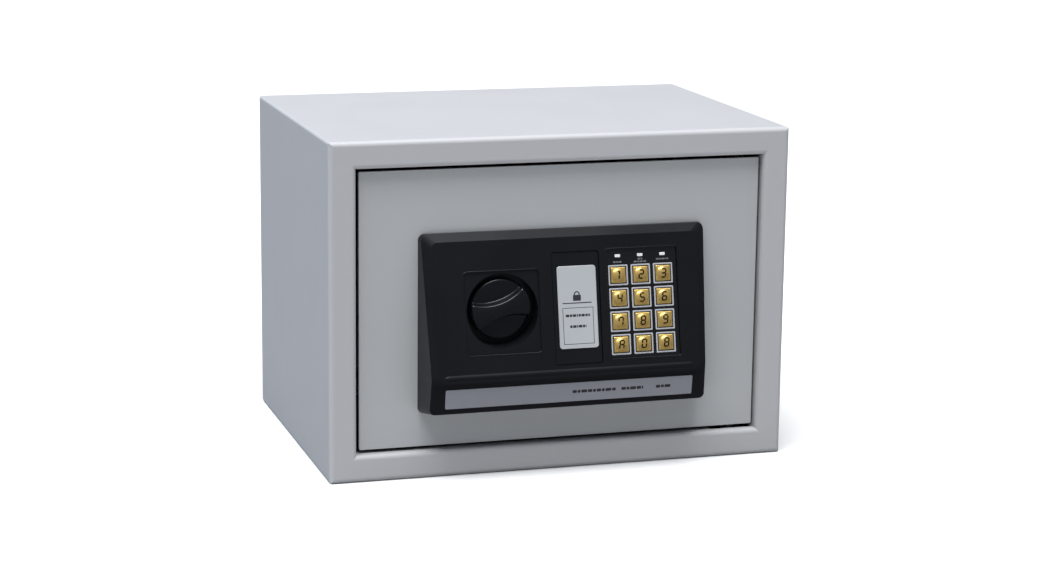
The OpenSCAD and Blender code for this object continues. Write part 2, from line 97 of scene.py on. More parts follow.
def colour(name, description, red, green, blue):
    """A surface colour."""
    return FloatVectorProperty(name=name, description=description, default=(red, green, blue),
                               min=0.0, max=1.0, size=3, subtype="COLOR")


def share(name, description, value):
    """A number from 0 to 1."""
    return FloatProperty(name=name, description=description, default=value, min=0.0, max=1.0,
                         subtype="FACTOR")


class SafePanelFace(bpy.types.PropertyGroup):
    """Where the control panel's sloping face and chin lie."""
    face_rise: length("Face rise", "Height of the face's top edge above the door", 7.0)
    face_top: length("Face top", "Height of the face's top edge above the floor", 175.3)
    face_lean: FloatProperty(name="Face lean", description="Lean of the face from the vertical",
                             default=FACE_LEAN, subtype="ANGLE", unit="ROTATION")
    chin_rise: length("Chin rise", "Height of the chin's top edge above the door", 24.9)
    chin_top: length("Chin top", "Height of the chin's top edge above the floor", 73.3)
    chin_lean: FloatProperty(name="Chin lean", description="Lean of the chin from the vertical",
                             default=CHIN_LEAN, subtype="ANGLE", unit="ROTATION")


class SafeKeySizes(bpy.types.PropertyGroup):
    """Sizes of the key caps, their numbers and the outlines round them."""
    cap_width: FloatProperty(name="Cap width", description="Width of a key cap",
                             default=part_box("key_1")[1].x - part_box("key_1")[0].x,
                             unit="LENGTH", subtype="DISTANCE", precision=5)
    column_gap: length("Column gap", "Distance between key columns", 17.4)
    middle_column: length("Middle column", "Place of the middle column from the centre", 57.8)
    first_row: length("First row", "Distance of the first row down the face", 30.2)
    row_gap: length("Row gap", "Distance between key rows", 17.0)
    flat_height: length("Flat height", "Height of the cap's flat rim over the face", -0.7, -5.0)
    dome_radius: length("Dome radius", "Radius of the round dome on a cap", 4.7)
    dome_rise: length("Dome rise", "Height of the dome over the cap's rim", 1.25)
    number_width: length("Number width", "Width of a number", 3.15)
    number_height: length("Number height", "Height of a number", 6.0)
    stroke: length("Stroke", "Width of a number's strokes", 1.12)
    number_slant: FloatProperty(name="Number slant", description="Sideways lean of the numbers",
                                default=0.14, min=0.0, max=0.5)
    outline_width: length("Outline width", "Outside width of the outline round a key", 15.0)
    outline_line: length("Outline line", "Line width of the outline round a key", 1.08)


class SafeKnobSizes(bpy.types.PropertyGroup):
    """Sizes of the turn knob."""
    radius: FloatProperty(name="Knob radius", description="Outside radius of the knob",
                          default=(KNOB_HIGH.x - KNOB_LOW.x) / 2, unit="LENGTH",
                          subtype="DISTANCE", precision=5)
    waist: length("Grip waist", "Half width of the grip bar at its middle", 5.8)
    side_radius: length("Grip side radius", "Radius of the grip bar's hollow sides", 39.0)
    hollow: length("Hollow depth", "Depth of the hollows beside the grip bar", 6.0)
    crown: length("Crown", "How far the top of the bar falls away at its sides", 1.3)
    edge: length("Edge radius", "Rounding of the rim", 2.0)
    turn: FloatProperty(name="Grip angle", description="Angle of the grip bar at rest",
                        default=math.radians(16), subtype="ANGLE", unit="ROTATION")


class SafeFinishes(bpy.types.PropertyGroup):
    """Colours and gloss of the finishes."""
    paint: colour("Cabinet paint", "Stoved paint of the cabinet", 0.468, 0.470, 0.486)
    door_paint: colour("Door paint", "Stoved paint of the door", 0.456, 0.466, 0.476)
    paint_gloss: share("Paint roughness", "Roughness of the paint", 0.38)
    moulding: colour("Panel plastic", "Black plastic of the control panel", 0.0056, 0.0060, 0.0078)
    moulding_gloss: share("Plastic roughness", "Roughness of the control panel", 0.33)
    gold: colour("Key gold", "Metallised plastic of the keys", 0.88, 0.60, 0.19)
    legend: colour("Number brown", "Ink of the numbers", 0.016, 0.008, 0.004)
    silver: colour("Centre plate", "Satin foil of the centre plate", 0.76, 0.78, 0.80)
    strip: colour("Strip plate", "Brushed foil of the lower strip", 0.49, 0.50, 0.54)
    outline: colour("Key outlines", "Silver ink round the keys", 0.62, 0.63, 0.66)
    ink: colour("Plate ink", "Dark ink of the plate marks", 0.030, 0.030, 0.038)
    lamp: colour("Lamp lens", "Milky lamp lens", 0.86, 0.87, 0.88)
    zinc: colour("Zinc", "Bright zinc plating", 0.58, 0.59, 0.60)
    felt: colour("Felt", "Felt of the floor mat", 0.035, 0.037, 0.042)


class SafeStudio(bpy.types.PropertyGroup):
    """Camera and lights."""
    lens: FloatProperty(name="Lens", description="Focal length", default=87.46, min=20, max=300,
                        unit="CAMERA")
    sky_power: FloatProperty(name="Sky light", description="Strength of the wide light from above",
                             default=3.9, min=0, max=50)
    top_power: FloatProperty(name="Top light", description="Power of the soft light overhead",
                             default=14.5, min=0, max=500, unit="POWER")
    left_power: FloatProperty(name="Left light", description="Power of the soft light at the left",
                              default=15.0, min=0, max=500, unit="POWER")
    front_power: FloatProperty(name="Front light", description="Power of the soft light in front",
                               default=3.7, min=0, max=500, unit="POWER")
    surround: FloatProperty(name="Surround", description="Strength of the even surrounding light",
                            default=0.17, min=0, max=5)
    floor_size: length("Floor size", "Side of the pale floor", 9000.0, 1000.0, 50000.0)


# ---- surfaces ----

def round_rect(half_w, half_h, radius, steps=5):
    """Points round a rectangle with round corners: each corner is a quarter circle of the radius
    about the corner's own centre, which lies one radius in from both sides."""
    start = np.repeat(np.arange(4) * math.pi / 2, steps + 1)
    angle = start + np.tile(np.linspace(0, math.pi / 2, steps + 1), 4)
    side_x = np.sign(np.cos(start + math.pi / 4))
    side_y = np.sign(np.sin(start + math.pi / 4))
    return np.stack([side_x * (half_w - radius) + radius * np.cos(angle),
                     side_y * (half_h - radius) + radius * np.sin(angle)], -1)


def on_slope(slope, across, up, out):
    """Points on a sloping face. Down the slope by minus up, then out along the normal:
    y = top y + up sin(lean) - out cos(lean), z = top z + up cos(lean) + out sin(lean)."""
    top_y, top_z, lean = slope
    y = top_y + up * math.sin(lean) - out * math.cos(lean)
    z = top_z + up * math.cos(lean) + out * math.sin(lean)
    return np.stack(np.broadcast_arrays(across, y, z), -1)


def face_slope():
    """Top edge and lean of the panel's face."""
    p = bpy.context.scene.safe_panel_face
    return DOOR_FACE - p.face_rise, p.face_top, p.face_lean


def chin_slope():
    """Top edge and lean of the panel's chin."""
    p = bpy.context.scene.safe_panel_face
    return DOOR_FACE - p.chin_rise, p.chin_top, p.chin_lean


def lofted(rings, wrap=False):
    """One closed part: rings of equal length joined in order. With wrap the last ring joins the
    first, otherwise each end is closed by a fan to the end ring's mean point."""
    rings = np.asarray(rings, float)
    n, m = rings.shape[:2]
    rows = n if wrap else n - 1
    i, j = np.meshgrid(np.arange(rows), np.arange(m), indexing="ij")
    below, above, beside = i * m, ((i + 1) % n) * m, (j + 1) % m
    quads = np.stack([below + j, below + beside, above + beside, above + j], -1).reshape(-1, 4)
    verts = rings.reshape(-1, 3)
    if wrap:
        return outward(verts, quads, np.empty((0, 3), int))
    verts = np.concatenate([verts, [rings[0].mean(0), rings[-1].mean(0)]])
    a = np.arange(m)
    b = (a + 1) % m
    first = np.stack([np.full(m, n * m), b, a], -1)
    last = np.stack([np.full(m, n * m + 1), (n - 1) * m + a, (n - 1) * m + b], -1)
    return outward(verts, quads, np.concatenate([first, last]))


def outward(verts, quads, tris):
    """The part with its faces turned outwards: the sum of the tetrahedra from the middle to each
    triangle is positive when they point out."""
    triangles = np.concatenate([quads[:, [0, 1, 2]], quads[:, [0, 2, 3]], tris])
    a, b, c = (verts[triangles[:, k]] - verts.mean(0) for k in range(3))
    if np.einsum("ij,ij->i", a, np.cross(b, c)).sum() < 0:
        return verts, quads[:, ::-1], tris[:, ::-1]
    return verts, quads, tris


def plate_part(slope, x, v, half_w, half_h, radius, low, high, edge, steps=5):
    """A flat plate on a slope: the outline rises straight from low, then a quarter circle of
    radius edge carries it in to the top at high."""
    turn = np.linspace(0, math.pi / 2, 5)
    # one more ring on the flat keeps its shading even
    inset = np.concatenate([[0.0], edge * (1 - np.cos(turn)), [edge * 1.6]])
    height = np.concatenate([[low], high - edge + edge * np.sin(turn), [high]])
    rings = [on_slope(slope, x + o[:, 0], -v + o[:, 1], h) for o, h in
             ((round_rect(half_w - d, half_h - d, max(radius - d, 0.02 * MM), steps), h)
              for d, h in zip(inset, height))]
    return lofted(rings)


def frame_part(slope, x, v, half_w, half_h, radius, line, low, high):
    """A closed line of the width given along a rounded rectangle: its section has a flat foot,
    upright sides and a rounded top, carried round the rectangle."""
    offset = np.array([0, 0, 0.2, 0.8, 1, 1]) * line
    rise = np.array([0, 0.7, 1, 1, 0.7, 0])
    rings = []
    for d, h in zip(offset, low + rise * (high - low)):
        o = round_rect(half_w - d, half_h - d, max(radius - d, 0.1 * MM))
        rings.append(on_slope(slope, x + o[:, 0], -v + o[:, 1], h))
    return lofted(rings, wrap=True)


def lip_part(slope, x, v, half_long, profile):
    """A low lip across a slope: the profile's points, up the slope and out from it, carried
    along the lip's length and drawn in towards both ends."""
    profile = np.asarray(profile, float)
    along = np.sin(np.linspace(-1, 1, 41) * math.pi / 2)
    swell = np.sqrt(np.clip(1 - np.abs(along) ** 60, 0.0, 1)) * 0.97 + 0.03
    rings = [on_slope(slope, x + half_long * place, -v + profile[:, 0] * size,
                      np.where(profile[:, 1] > 0, profile[:, 1] * size, profile[:, 1]))
             for place, size in zip(along, swell)]
    return lofted(rings)


def stroke_part(slope, x, v, points, width, height_of, lift, sink=0.2 * MM):
    """A painted stroke: a strip of the width given along the points, with narrow ends, lying
    lift above the height that height_of gives for each of its own edges."""
    points = np.asarray(points, float)
    along = np.gradient(points, axis=0)
    along /= np.linalg.norm(along, axis=1)[:, None]
    side = np.stack([-along[:, 1], along[:, 0]], -1)
    half = np.full(len(points), width / 2)
    half[[0, -1]] *= 0.55
    left, right = points + side * half[:, None], points - side * half[:, None]
    rows = []
    for edge, depth in ((left, -sink), (left, lift), (points, lift * 1.1), (right, lift),
                        (right, -sink)):
        rows.append(on_slope(slope, x + edge[:, 0], -v + edge[:, 1], height_of(edge) + depth))
    return lofted(np.stack(rows, 1))


def build(name, parts, material, body, crease=35.0):
    """One mesh object from closed parts, placed in its mesh, riding on a body."""
    verts, faces, start = [], [], 0
    for part_verts, quads, tris in parts:
        verts.append(part_verts)
        faces += (quads + start).tolist() + (tris + start).tolist()
        start += len(part_verts)
    mesh = bpy.data.meshes.new(name)
    mesh.from_pydata(np.concatenate(verts).tolist(), [], faces)
    shape = bmesh.new()
    shape.from_mesh(mesh)
    bmesh.ops.remove_doubles(shape, verts=shape.verts, dist=0.002 * MM)
    shape.to_mesh(mesh)
    shape.free()
    return finish_piece(name, mesh, material, body, crease)


def finish_piece(name, mesh, material, body, crease):
    """Link the mesh as an object with its finish, and tie it to its body."""
    mesh.shade_smooth()
    mesh.set_sharp_from_angle(angle=math.radians(crease))
    mesh.materials.clear()
    mesh.materials.append(material)
    piece = bpy.data.objects.new(name, mesh)
    bpy.context.scene.collection.objects.link(piece)
    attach(piece, body)
    return piece


def soft_edged(node, name, body, material, width, segments=3, angle=28.0):
    """A CAD node's own shape with its sharp edges rounded, in place of the node."""
    source = NODES[node].data
    corners = np.empty(len(source.vertices) * 3)
    source.vertices.foreach_get("co", corners)
    triangles = np.empty(len(source.loops), int)
    source.loops.foreach_get("vertex_index", triangles)
    mesh = bpy.data.meshes.new(name)
    mesh.from_pydata(corners.reshape(-1, 3).tolist(), [], triangles.reshape(-1, 3).tolist())
    shape = bmesh.new()
    shape.from_mesh(mesh)
    bmesh.ops.remove_doubles(shape, verts=shape.verts, dist=0.004 * MM)
    bmesh.ops.dissolve_limit(shape, angle_limit=math.radians(0.6), verts=shape.verts,
                             edges=shape.edges)
    shape.to_mesh(mesh)
    shape.free()
    piece = finish_piece(name, mesh, material, body, 40.0)
    bevel = piece.modifiers.new("rounded edges", "BEVEL")
    bevel.width = width
    bevel.segments = segments
    bevel.limit_method = "ANGLE"
    bevel.angle_limit = math.radians(angle)
    bevel.use_clamp_overlap = True
    weigh = piece.modifiers.new("even shading", "WEIGHTED_NORMAL")
    weigh.weight = 100
    weigh.keep_sharp = True
    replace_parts(piece, node)
    return piece


# ---- finishes ----

def new_group(name, inputs, outputs):
    """An empty node group with its sockets, and its two end nodes."""
    tree = bpy.data.node_groups.new(name, "ShaderNodeTree")
    for title, kind, default in inputs:
        socket = tree.interface.new_socket(name=title, in_out="INPUT", socket_type=kind)
        socket.default_value = default
    for title, kind in outputs:
        tree.interface.new_socket(name=title, in_out="OUTPUT", socket_type=kind)
    return tree, tree.nodes.new("NodeGroupInput"), tree.nodes.new("NodeGroupOutput")


def add(tree, kind, links=(), **settings):
    """A node with its settings and input values. links names an input and the output it takes."""
    node = tree.nodes.new(kind)
    for key, value in settings.items():
        if key.startswith("in_"):
            node.inputs[key[3:].replace("_", " ").title()].default_value = value
        else:
            setattr(node, key, value)
    for title, source in links:
        tree.links.new(source, node.inputs[title])
    return node


def effect(name):
    """A shared effect by name, made when it is first asked for."""
    return bpy.data.node_groups.get(name) or EFFECTS[name](name)


def make_speckle(name):
    """Fine bumps: noise at the scale given, plus a third of a slow ripple a ninth as fine."""
    tree, start, end = new_group(name, [("Scale", "NodeSocketFloat", 900.0),
                                        ("Ripple", "NodeSocketFloat", 0.3)],
                                 [("Height", "NodeSocketFloat")])
    place = add(tree, "ShaderNodeTexCoord").outputs["Object"]
    fine = add(tree, "ShaderNodeTexNoise", [("Vector", place), ("Scale", start.outputs["Scale"])],
               in_detail=2.0, in_roughness=0.5)
    ninth = add(tree, "ShaderNodeMath", [(0, start.outputs["Scale"])], operation="MULTIPLY")
    ninth.inputs[1].default_value = 0.11
    slow = add(tree, "ShaderNodeTexNoise", [("Vector", place), ("Scale", ninth.outputs[0])],
               in_detail=1.0)
    scaled = add(tree, "ShaderNodeMath", [(0, slow.outputs[0]), (1, start.outputs["Ripple"])],
                 operation="MULTIPLY")
    total = add(tree, "ShaderNodeMath", [(0, fine.outputs[0]), (1, scaled.outputs[0])],
                operation="ADD")
    tree.links.new(total.outputs[0], end.inputs["Height"])
    return tree


def make_handling(name):
    """Uneven gloss from handling: cloudy noise turned into a value between Low and High."""
    tree, start, end = new_group(name, [("Scale", "NodeSocketFloat", 18.0),
                                        ("Low", "NodeSocketFloat", 0.3),
                                        ("High", "NodeSocketFloat", 0.5)],
                                 [("Value", "NodeSocketFloat")])
    place = add(tree, "ShaderNodeTexCoord").outputs["Object"]
    cloud = add(tree, "ShaderNodeTexNoise", [("Vector", place), ("Scale", start.outputs["Scale"])],
                in_detail=5.0, in_roughness=0.62, in_distortion=0.4)
    spread = add(tree, "ShaderNodeMapRange",
                 [("Value", cloud.outputs[0]), ("To Min", start.outputs["Low"]),
                  ("To Max", start.outputs["High"])], in_from_min=0.3, in_from_max=0.7)
    tree.links.new(spread.outputs[0], end.inputs["Value"])
    return tree


def make_tone(name):
    """Small changes of tone: the colour times a slow noise, spread by Amount about one."""
    tree, start, end = new_group(name, [("Color", "NodeSocketColor", (0.5, 0.5, 0.5, 1.0)),
                                        ("Scale", "NodeSocketFloat", 12.0),
                                        ("Amount", "NodeSocketFloat", 0.06)],
                                 [("Color", "NodeSocketColor")])
    place = add(tree, "ShaderNodeTexCoord").outputs["Object"]
    cloud = add(tree, "ShaderNodeTexNoise", [("Vector", place), ("Scale", start.outputs["Scale"])],
                in_detail=6.0, in_roughness=0.6)
    centred = add(tree, "ShaderNodeMath", [(0, cloud.outputs[0])], operation="SUBTRACT")
    centred.inputs[1].default_value = 0.5
    factor = add(tree, "ShaderNodeMath", [(0, centred.outputs[0]), (1, start.outputs["Amount"])],
                 operation="MULTIPLY_ADD")
    factor.inputs[2].default_value = 1.0
    scaled = add(tree, "ShaderNodeVectorMath", [(0, start.outputs["Color"])], operation="SCALE")
    tree.links.new(factor.outputs[0], scaled.inputs["Scale"])
    tree.links.new(scaled.outputs[0], end.inputs["Color"])
    return tree


def make_dust(name):
    """Dust that settles on upward faces: the upward share of the normal times fine noise."""
    tree, start, end = new_group(name, [("Amount", "NodeSocketFloat", 0.1),
                                        ("Scale", "NodeSocketFloat", 500.0)],
                                 [("Mask", "NodeSocketFloat")])
    up = add(tree, "ShaderNodeSeparateXYZ",
             [(0, add(tree, "ShaderNodeNewGeometry").outputs["Normal"])])
    place = add(tree, "ShaderNodeTexCoord").outputs["Object"]
    grain = add(tree, "ShaderNodeTexNoise", [("Vector", place), ("Scale", start.outputs["Scale"])],
                in_detail=4.0, in_roughness=0.7)
    speck = add(tree, "ShaderNodeMapRange", [("Value", grain.outputs[0])], in_from_min=0.45,
                in_from_max=0.75)
    facing = add(tree, "ShaderNodeMath", [(0, up.outputs["Z"]), (1, speck.outputs[0])],
                 operation="MULTIPLY", use_clamp=True)
    mask = add(tree, "ShaderNodeMath", [(0, facing.outputs[0]), (1, start.outputs["Amount"])],
               operation="MULTIPLY", use_clamp=True)
    tree.links.new(mask.outputs[0], end.inputs["Mask"])
    return tree


def make_brushed(name):
    """Brushing: noise squeezed along one way, so that it draws out into fine parallel lines."""
    tree, start, end = new_group(name, [("Stretch", "NodeSocketVector", (20.0, 1500.0, 1500.0))],
                                 [("Height", "NodeSocketFloat")])
    place = add(tree, "ShaderNodeTexCoord").outputs["Object"]
    drawn = add(tree, "ShaderNodeVectorMath", [(0, place), (1, start.outputs["Stretch"])],
                operation="MULTIPLY")
    lines = add(tree, "ShaderNodeTexNoise", [("Vector", drawn.outputs[0])], in_scale=1.0,
                in_detail=3.0, in_roughness=0.65)
    tree.links.new(lines.outputs[0], end.inputs["Height"])
    return tree


EFFECTS = {"fine speckle": make_speckle, "handling gloss": make_handling,
           "tone change": make_tone, "settled dust": make_dust, "brushed lines": make_brushed}


def place_effect(tree, name, **values):
    """A shared effect placed in a material with its own values."""
    node = add(tree, "ShaderNodeGroup", node_tree=effect(name))
    for title, value in values.items():
        node.inputs[title].default_value = value
    return node


def finish(name, base, roughness, spread=0.08, metallic=0.0, tone=0.06, tone_scale=12.0,
           speckle=900.0, depth=0.02, ripple=0.3, brushed=None, dust=0.0, coat=0.0,
           coat_roughness=0.1, sheen=0.0, specular=0.5, gloss_scale=18.0, subsurface=0.0,
           strength=0.3):
    """One material: tone changes and dust in the colour, uneven gloss, and a bump from speckle or
    brushing. Depth is the height of the bump in millimetres."""
    existing = bpy.data.materials.get(name)
    if existing:
        return existing
    material = bpy.data.materials.new(name)
    material.use_nodes = True
    tree = material.node_tree
    shader = tree.nodes["Principled BSDF"]
    for title, value in (("Metallic", metallic), ("Coat Weight", coat),
                         ("Coat Roughness", coat_roughness), ("Sheen Weight", sheen),
                         ("Specular IOR Level", specular), ("Subsurface Weight", subsurface)):
        shader.inputs[title].default_value = value
    toned = place_effect(tree, "tone change", Color=(*base, 1.0), Scale=tone_scale, Amount=tone)
    surface = toned.outputs["Color"]
    if dust:
        settled = place_effect(tree, "settled dust", Amount=dust)
        mix = add(tree, "ShaderNodeMix", data_type="RGBA")
        mix.inputs[7].default_value = (0.62, 0.60, 0.57, 1.0)
        tree.links.new(settled.outputs["Mask"], mix.inputs[0])
        tree.links.new(surface, mix.inputs[6])
        surface = mix.outputs[2]
    tree.links.new(surface, shader.inputs["Base Color"])
    gloss = place_effect(tree, "handling gloss", Scale=gloss_scale,
                         Low=max(roughness - spread, 0.03), High=min(roughness + spread, 1.0))
    tree.links.new(gloss.outputs["Value"], shader.inputs["Roughness"])
    if brushed:
        relief = place_effect(tree, "brushed lines", Stretch=brushed)
    else:
        relief = place_effect(tree, "fine speckle", Scale=speckle, Ripple=ripple)
    bump = add(tree, "ShaderNodeBump", [("Height", relief.outputs["Height"])])
    bump.inputs["Strength"].default_value = strength
    bump.inputs["Distance"].default_value = depth * MM
    tree.links.new(bump.outputs["Normal"], shader.inputs["Normal"])
    return material


def dress(material, *nodes):
    """Give CAD nodes their finish."""
    for node in nodes:
        mesh = NODES[node].data
        mesh.materials.clear()
        mesh.materials.append(material)


def colours():
    """The finishes' colours and gloss."""
    return bpy.context.scene.safe_finishes


def cabinet_paint():
    """Light grey stoved paint with a fine orange peel."""
    c = colours()
    return finish("cabinet paint", c.paint, c.paint_gloss, 0.03, tone=0.02, tone_scale=7.0,
                  speckle=1100.0, depth=0.05, ripple=0.5, dust=0.03, coat=0.12,
                  coat_roughness=0.3, specular=0.22, strength=0.35)


def door_paint():
    """The door's paint, a touch warmer than the cabinet's."""
    c = colours()
    return finish("door paint", c.door_paint, c.paint_gloss, 0.03, tone=0.03, tone_scale=8.0,
                  speckle=1100.0, depth=0.05, ripple=0.5, coat=0.12, coat_roughness=0.3,
                  specular=0.3, strength=0.35)


def panel_plastic():
    """Black moulded plastic with a spark-eroded grain."""
    c = colours()
    return finish("panel plastic", c.moulding, c.moulding_gloss, 0.06, tone=0.25,
                  tone_scale=30.0, speckle=2600.0, depth=0.02, ripple=0.2, dust=0.004,
                  specular=0.42, strength=0.2)


def zinc_plate():
    """Bright zinc-plated steel."""
    return finish("zinc plate", colours().zinc, 0.34, 0.10, metallic=1.0, tone=0.16,
                  tone_scale=60.0, speckle=1500.0, depth=0.015, gloss_scale=90.0)


def shade_dark_hinge_steel():
    """Near-black steel of the hinges: the dark colour is painted shade, so the hinges seen through
    the gap by the hinge side read as the dark gap.
    """
    return finish("hinge steel darkened for painted shade", (0.022, 0.022, 0.024), 0.42, 0.10, metallic=0.7, tone=0.3,
                  tone_scale=90.0, speckle=1500.0, depth=0.015, gloss_scale=90.0)


class SAFE_OT_cabinet(bpy.types.Operator):
    """Paint the steel cabinet and lay the felt mat"""
    bl_idname = "safe.cabinet"
    bl_label = "Cabinet"

    def execute(self, context):
        dress(cabinet_paint(), "body_shell", "back_panel", "inner_cover")
        # the hinge brackets get a near-black colour as painted shade in the gap
        dress(shade_dark_hinge_steel(), "hinge_bracket_upper", "hinge_bracket_lower")
        felt = finish("felt", colours().felt, 0.95, 0.04, tone=0.7, tone_scale=900.0,
                      speckle=1800.0, depth=0.5, ripple=0.8, sheen=0.3, strength=0.9,
                      specular=0.2)
        dress(felt, "floor_mat")
        return {"FINISHED"}


class SAFE_OT_door(bpy.types.Operator):
    """Paint the door plate, and finish its hinges, bolt guide and screws"""
    bl_idname = "safe.door"
    bl_label = "Door"

    def execute(self, context):
        dress(door_paint(), "door_plate")
        # the hinge lugs and pins get a near-black colour as painted shade in the gap
        dress(shade_dark_hinge_steel(), "hinge_lug_upper", "hinge_lug_lower", "hinge_pin_upper",
              "hinge_pin_lower")
        dress(zinc_plate(), "bolt_guide", "guide_studs", "cover_screws", "panel_screws")
        return {"FINISHED"}


class SAFE_OT_bolt_work(bpy.types.Operator):
    """Finish the bolts, the crank, the solenoid and the override lock"""
    bl_idname = "safe.bolt_work"
    bl_label = "Bolt work and lock"

    def execute(self, context):
        steel = finish("ground steel", (0.60, 0.61, 0.63), 0.22, 0.08, metallic=1.0, tone=0.10,
                       brushed=(60.0, 2200.0, 2200.0), depth=0.01, gloss_scale=60.0)
        dress(zinc_plate(), "solenoid_frame", "lock_nut", "lock_cam", "knob_shaft", "shaft_clip",
              "crank", "bolt_carriage")
        dress(steel, "bolt_upper", "bolt_lower", "crank_pin", "solenoid_plunger", "lock_body",
              "plunger_spring")
        brass = finish("brass", (0.74, 0.55, 0.26), 0.26, 0.08, metallic=1.0, tone=0.12,
                       tone_scale=80.0, speckle=1800.0, depth=0.01)
        dress(brass, "lock_plug", "knob_bush")
        copper = finish("wound copper", (0.70, 0.30, 0.13), 0.30, 0.08, metallic=1.0, tone=0.2,
                        tone_scale=200.0, brushed=(30.0, 30.0, 5200.0), depth=0.12,
                        strength=0.8)
        dress(copper, "solenoid_coil")
        return {"FINISHED"}


class SAFE_OT_inside_parts(bpy.types.Operator):
    """Finish the battery box, the cells, the circuit board and the reset button"""
    bl_idname = "safe.inside_parts"
    bl_label = "Inside parts"

    def execute(self, context):
        black = finish("inner plastic", (0.018, 0.018, 0.020), 0.45, 0.08, tone=0.2,
                       speckle=2200.0, depth=0.03)
        dress(black, "battery_holder", "battery_door", "reset_switch", "buzzer")
        wrap = finish("cell wrap", (0.025, 0.05, 0.14), 0.25, 0.05, tone=0.1, coat=0.6,
                      speckle=600.0, depth=0.004)
        dress(wrap, "batteries")
        board = finish("solder mask", (0.010, 0.085, 0.035), 0.30, 0.08, tone=0.5,
                       tone_scale=700.0, speckle=1200.0, depth=0.02, coat=0.4)
        dress(board, "circuit_board")
        rubber = finish("grey rubber", (0.10, 0.10, 0.11), 0.75, 0.06, tone=0.1,
                        speckle=1500.0, depth=0.02)
        dress(rubber, "keypad_mat")
        red = finish("red button", (0.55, 0.015, 0.012), 0.32, 0.06, tone=0.08, speckle=1800.0,
                     depth=0.01, coat=0.3)
        dress(red, "reset_button")
        return {"FINISHED"}


class SAFE_OT_panel(bpy.types.Operator):
    """Mould the control panel with its lips, its loose cover and the keypad's glossy face"""
    bl_idname = "safe.panel"
    bl_label = "Control panel"

    def execute(self, context):
        face, plastic = face_slope(), panel_plastic()
        soft_edged("panel_housing", "panel_moulding", "door", plastic, 0.45 * MM,
                   angle=15.0)
        soft_edged("override_cover", "loose_cover", "emergency_cover", plastic,
                   0.35 * MM)
        build("ridge_lip", [lip_part(face, *RIDGE, 95.5 * MM, RIDGE_SECTION)], plastic, "door",
              24.0)
        line, foot = 0.8 * MM, -0.6 * MM
        lips = [frame_part(face, *KNOB_RECESS, 28.9 * MM, 30.85 * MM, 3.3 * MM, line, foot,
                           0.14 * MM),
                frame_part(face, *KEYPAD_RECESS, 28.1 * MM, 41.0 * MM, 1.9 * MM, line, foot,
                           0.13 * MM)]
        build("recess_lips", lips, plastic, "door", 60.0)
        gloss = finish("keypad face", (0.006, 0.006, 0.008), 0.16, 0.05, tone=0.2,
                       speckle=900.0, depth=0.004, coat=0.4, coat_roughness=0.08)
        dress(gloss, "keypad_fascia")
        return {"FINISHED"}


class SAFE_OT_knob(bpy.types.Operator):
    """Shape the turn knob with its waisted grip bar"""
    bl_idname = "safe.knob"
    bl_label = "Knob"

    def execute(self, context):
        k = context.scene.safe_knob
        top, foot = DOOR_FACE - KNOB_LOW.y, DOOR_FACE - KNOB_HIGH.y
        knob_x, knob_z = (KNOB_LOW.x + KNOB_HIGH.x) / 2, (KNOB_LOW.z + KNOB_HIGH.z) / 2
        angle = np.linspace(0, 2 * math.pi, 360, endpoint=False)
        reach = k.radius * np.concatenate([np.linspace(0.01, 0.90, 110),
                                           1 - 0.10 * (1 - np.sin(np.linspace(0.1, 1, 12)
                                                                  * math.pi / 2))])
        r, a = np.meshgrid(reach, angle, indexing="ij")
        along = r * np.cos(a - k.turn)
        aside = np.abs(r * np.sin(a - k.turn))
        bar = k.waist + k.side_radius - np.sqrt(k.side_radius ** 2 - along ** 2)
        step = np.clip((bar + 1.2 * MM - aside) / (2.4 * MM), 0, 1)
        step = step * step * (3 - 2 * step)
        crown = k.crown * np.clip(aside / bar, 0, 1.2) ** 2
        scoop = 1.2 * MM * np.clip((k.radius - r) / k.radius, 0, 1)
        height = top - k.hollow + 0.6 * MM - scoop + step * (k.hollow - crown - 0.6 * MM + scoop)
        rim = np.clip((r - (k.radius - k.edge)) / k.edge, 0, 1)
        height -= k.edge * (1 - np.sqrt(1 - rim ** 2))
        rings = np.stack([knob_x + r * np.cos(a), DOOR_FACE - height, knob_z + r * np.sin(a)], -1)
        wall = np.stack([knob_x + k.radius * np.cos(angle),
                         np.full(angle.shape, DOOR_FACE - foot),
                         knob_z + k.radius * np.sin(angle)], -1)
        plastic = finish("knob plastic", colours().moulding, 0.25, 0.05, tone=0.2,
                         tone_scale=60.0, speckle=2600.0, depth=0.008, specular=0.5)
        piece = build("turn_knob", [lofted(np.concatenate([rings, wall[None]]))], plastic,
                      "knob_group", 45.0)
        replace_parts(piece, "knob")
        return {"FINISHED"}


